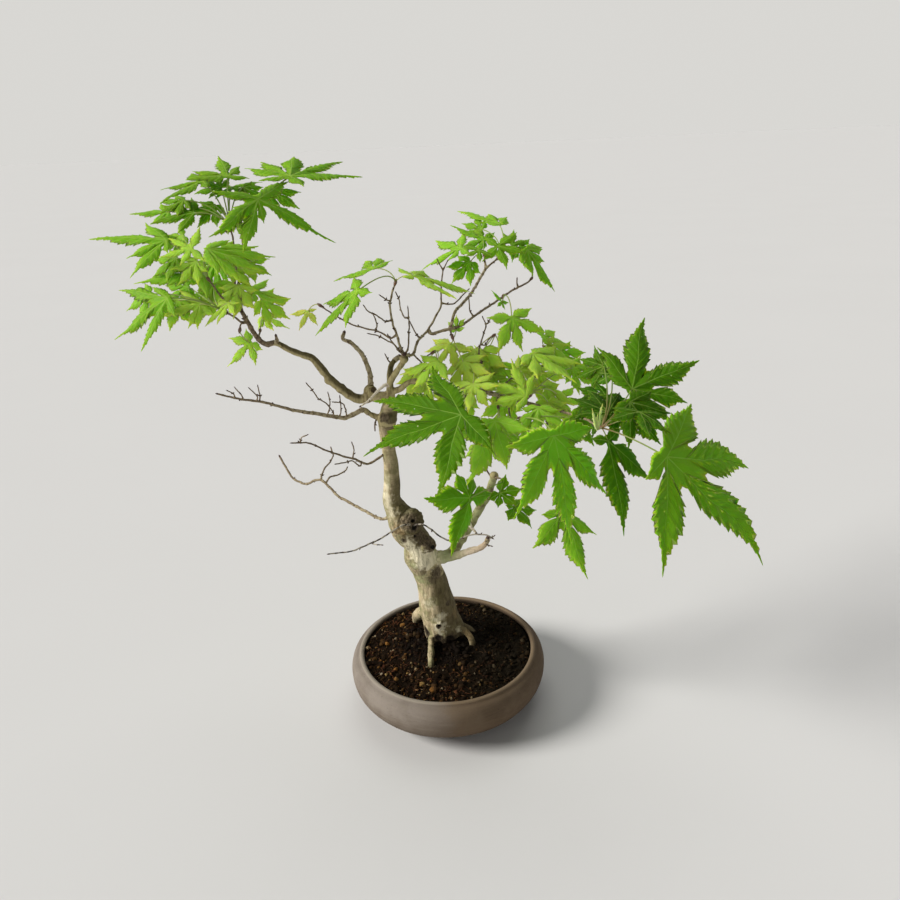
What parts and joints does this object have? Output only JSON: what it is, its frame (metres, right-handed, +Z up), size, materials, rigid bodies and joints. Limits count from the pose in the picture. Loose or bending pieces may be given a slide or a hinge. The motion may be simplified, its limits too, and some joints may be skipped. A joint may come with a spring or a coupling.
{
  "type": "japanese maple bonsai",
  "caption": "Young Japanese maple grown as a bonsai: bent pale trunk with bare twigs and sprays of lobed green leaves, in a round shallow stoneware pot of dark soil.",
  "frame": {"origin": "centre of the pot's flat underside, on the surface that it stands on", "axes": "+Z up, -Y to the side that the tree is looked at from, +X to the right from there"},
  "size_m": [0.3234, 0.2508, 0.333],
  "materials": {
    "pot_stoneware": "matte",
    "net_plastic": "matte",
    "soil": "matte",
    "bark": "matte",
    "leaf_dark": "satin",
    "leaf_green": "satin",
    "leaf_light": "satin",
    "leaf_lime": "satin",
    "leaf_yellow": "satin"
  },
  "bodies": {
    "root": {"pot": "pot_stoneware", "drain_net_1": "net_plastic", "drain_net_2": "net_plastic", "soil": "soil", "tree_wood": "bark", "leaves_crown_right": "leaf_green", "leaves_crown_top": "leaf_green", "leaves_crown_left": "leaf_light", "leaves_crown_low": "leaf_light", "leaves_crown_fork": "leaf_light", "leaves_crown_under": "leaf_light", "leaves_crown_far": "leaf_lime", "leaves_trio": "leaf_light", "leaves_yellow": "leaf_yellow", "leaves_top_left": "leaf_green", "leaves_top_face": "leaf_green", "leaves_top_right": "leaf_green", "leaves_star": "leaf_light", "leaves_far": "leaf_light", "leaves_pale": "leaf_lime", "leaves_left": "leaf_lime", "leaves_small": "leaf_light", "leaves_behind": "leaf_lime", "leaves_lime": "leaf_lime", "leaves_lower": "leaf_green", "leaves_front": "leaf_dark", "leaves_right": "leaf_dark", "leaves_low": "leaf_green", "leaves_hanging": "leaf_green", "leaves_knob": "leaf_dark"}
  },
  "joints": []
}
